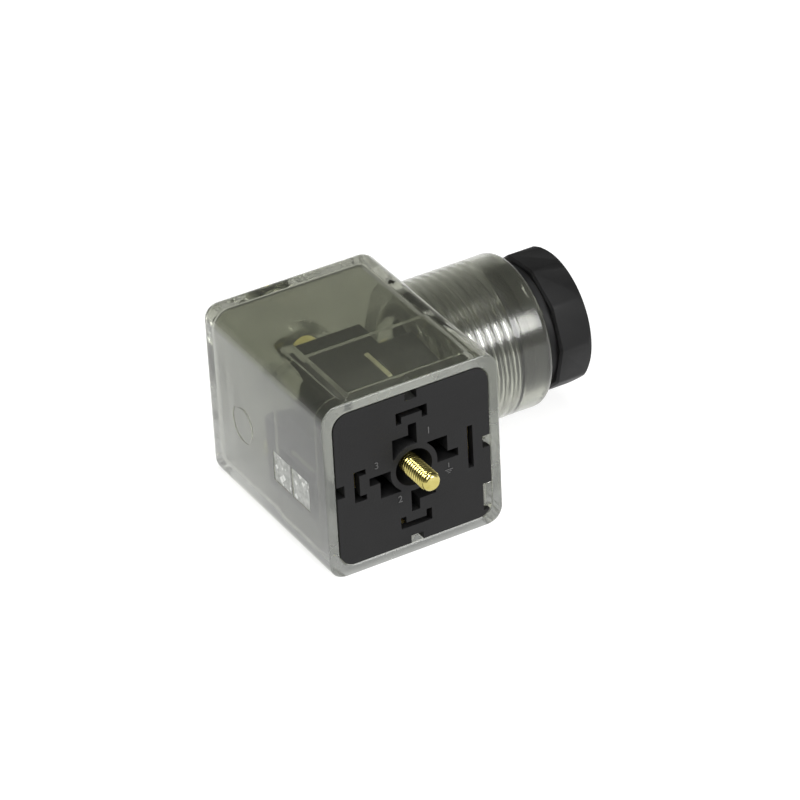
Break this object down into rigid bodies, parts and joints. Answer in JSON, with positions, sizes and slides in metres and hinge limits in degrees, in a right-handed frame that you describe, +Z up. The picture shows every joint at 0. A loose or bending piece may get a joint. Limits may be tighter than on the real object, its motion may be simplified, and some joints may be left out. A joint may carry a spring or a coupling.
{
  "type": "solenoid valve cable socket",
  "caption": "Clear angled cable socket for a solenoid valve coil: square contact face with blade slots, captive fixing screw, removable contact insert and side cable gland.",
  "frame": {"origin": "centre of the contact face, on the fixing screw's axis", "axes": "the contact face looks along -Y, the housing reaches back along +Y, the cable gland points along +X and +Z is up; it lies on its -Z side wall"},
  "size_m": [0.051, 0.0398, 0.0274],
  "materials": {
    "clear_housing": "clear smoke-tinted polycarbonate, moulded",
    "black_insert": "black moulded polyamide",
    "brass_screw": "yellow passivated",
    "contact_brass": "stamped brass",
    "steel_plated": "zinc plated",
    "black_nut": "black moulded polyamide",
    "black_rubber": "soft black rubber"
  },
  "bodies": {
    "housing": {"housing": "clear_housing", "cable_grommet": "black_rubber"},
    "insert": {"contact_carrier": "black_insert", "terminal_1": "contact_brass", "terminal_earth": "contact_brass", "terminal_2": "contact_brass", "terminal_3": "contact_brass"},
    "screw_slider": {"screw_washer": "steel_plated", "screw_seal": "black_rubber"},
    "fixing_screw": {"fixing_screw": "brass_screw"},
    "gland_slider": {"thrust_washer": "black_nut"},
    "gland_nut": {"gland_nut": "black_nut"},
    "clamp_1": {"clamp_plate_1": "steel_plated"},
    "clamp_screw_1": {"clamp_screw_1": "steel_plated"},
    "clamp_earth": {"clamp_plate_earth": "steel_plated"},
    "clamp_screw_earth": {"clamp_screw_earth": "steel_plated"},
    "clamp_2": {"clamp_plate_2": "steel_plated"},
    "clamp_screw_2": {"clamp_screw_2": "steel_plated"},
    "clamp_3": {"clamp_plate_3": "steel_plated"},
    "clamp_screw_3": {"clamp_screw_3": "steel_plated"}
  },
  "joints": [
    {"name": "insert_slide", "type": "slide", "parent": "housing", "child": "insert", "axis": [0, -1, 0], "range_m": [0, 0.026]},
    {"name": "fixing_screw_travel", "type": "slide", "parent": "housing", "child": "screw_slider", "axis": [0, 1, 0], "range_m": [0, 0.008]},
    {"name": "fixing_screw_spin", "type": "hinge", "parent": "screw_slider", "child": "fixing_screw", "pos_m": [0, 0, 0], "axis": [0, 1, 0], "range_deg": [0, 5761]},
    {"name": "gland_nut_travel", "type": "slide", "parent": "housing", "child": "gland_slider", "axis": [1, 0, 0], "range_m": [-0.0016, 0.009]},
    {"name": "gland_nut_spin", "type": "hinge", "parent": "gland_slider", "child": "gland_nut", "pos_m": [0.03, 0.02315, 0], "axis": [1, 0, 0], "range_deg": [-410, 2298]},
    {"name": "clamp_1_travel", "type": "slide", "parent": "insert", "child": "clamp_1", "axis": [0, 1, 0], "range_m": [-0.0012, 0.001]},
    {"name": "clamp_1_spin", "type": "hinge", "parent": "clamp_1", "child": "clamp_screw_1", "pos_m": [-0.0043, 0.02, 0.00805], "axis": [0, 1, 0], "range_deg": [-865, 721]},
    {"name": "clamp_earth_travel", "type": "slide", "parent": "insert", "child": "clamp_earth", "axis": [0, 1, 0], "range_m": [-0.0012, 0.001]},
    {"name": "clamp_earth_spin", "type": "hinge", "parent": "clamp_earth", "child": "clamp_screw_earth", "pos_m": [0.00805, 0.02, 0.0043], "axis": [0, 1, 0], "range_deg": [-865, 721]},
    {"name": "clamp_2_travel", "type": "slide", "parent": "insert", "child": "clamp_2", "axis": [0, 1, 0], "range_m": [-0.0012, 0.001]},
    {"name": "clamp_2_spin", "type": "hinge", "parent": "clamp_2", "child": "clamp_screw_2", "pos_m": [0.0043, 0.02, -0.00805], "axis": [0, 1, 0], "range_deg": [-865, 721]},
    {"name": "clamp_3_travel", "type": "slide", "parent": "insert", "child": "clamp_3", "axis": [0, 1, 0], "range_m": [-0.0012, 0.001]},
    {"name": "clamp_3_spin", "type": "hinge", "parent": "clamp_3", "child": "clamp_screw_3", "pos_m": [-0.00805, 0.02, -0.0043], "axis": [0, 1, 0], "range_deg": [-865, 721]}
  ],
  "couplings": [
    {"joint": "fixing_screw_spin", "follows": "fixing_screw_travel", "rad_per_m": 12566},
    {"joint": "gland_nut_spin", "follows": "gland_nut_travel", "rad_per_m": 4452.7},
    {"joint": "clamp_1_spin", "follows": "clamp_1_travel", "rad_per_m": 12566},
    {"joint": "clamp_earth_spin", "follows": "clamp_earth_travel", "rad_per_m": 12566},
    {"joint": "clamp_2_spin", "follows": "clamp_2_travel", "rad_per_m": 12566},
    {"joint": "clamp_3_spin", "follows": "clamp_3_travel", "rad_per_m": 12566}
  ]
}
